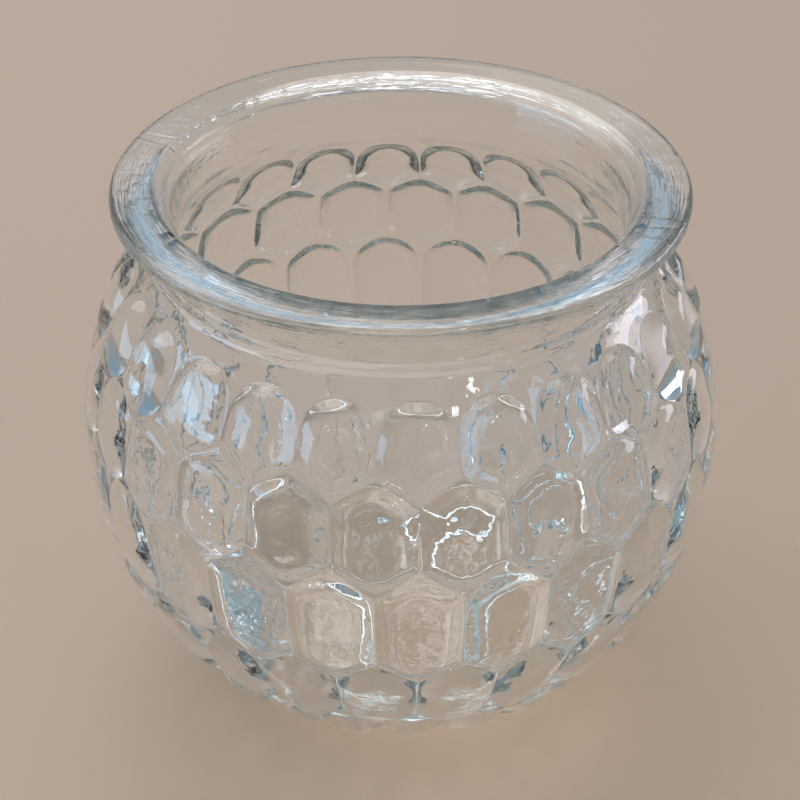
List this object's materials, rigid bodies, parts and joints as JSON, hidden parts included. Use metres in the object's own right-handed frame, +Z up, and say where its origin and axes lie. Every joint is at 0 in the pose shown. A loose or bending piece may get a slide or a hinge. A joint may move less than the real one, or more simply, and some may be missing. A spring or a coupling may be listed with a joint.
{
  "type": "tealight holder",
  "caption": "Squat open globe bowl of clear pressed glass with a honeycomb of raised hexagons on its belly, a short neck and a wide flat flange, for a tealight.",
  "frame": {"origin": "on the bowl's axis, at the level of the standing ring under its foot", "axes": "+Z up along the bowl's axis, out of the mouth; +X and -Y each pass through the middle of a top-row pillow"},
  "size_m": [0.0908, 0.0908, 0.0787],
  "materials": {
    "glass": "clear fire-polished pressed glass with a faint grey-green tint"
  },
  "bodies": {
    "root": {"glass_bowl": "glass"}
  },
  "joints": []
}
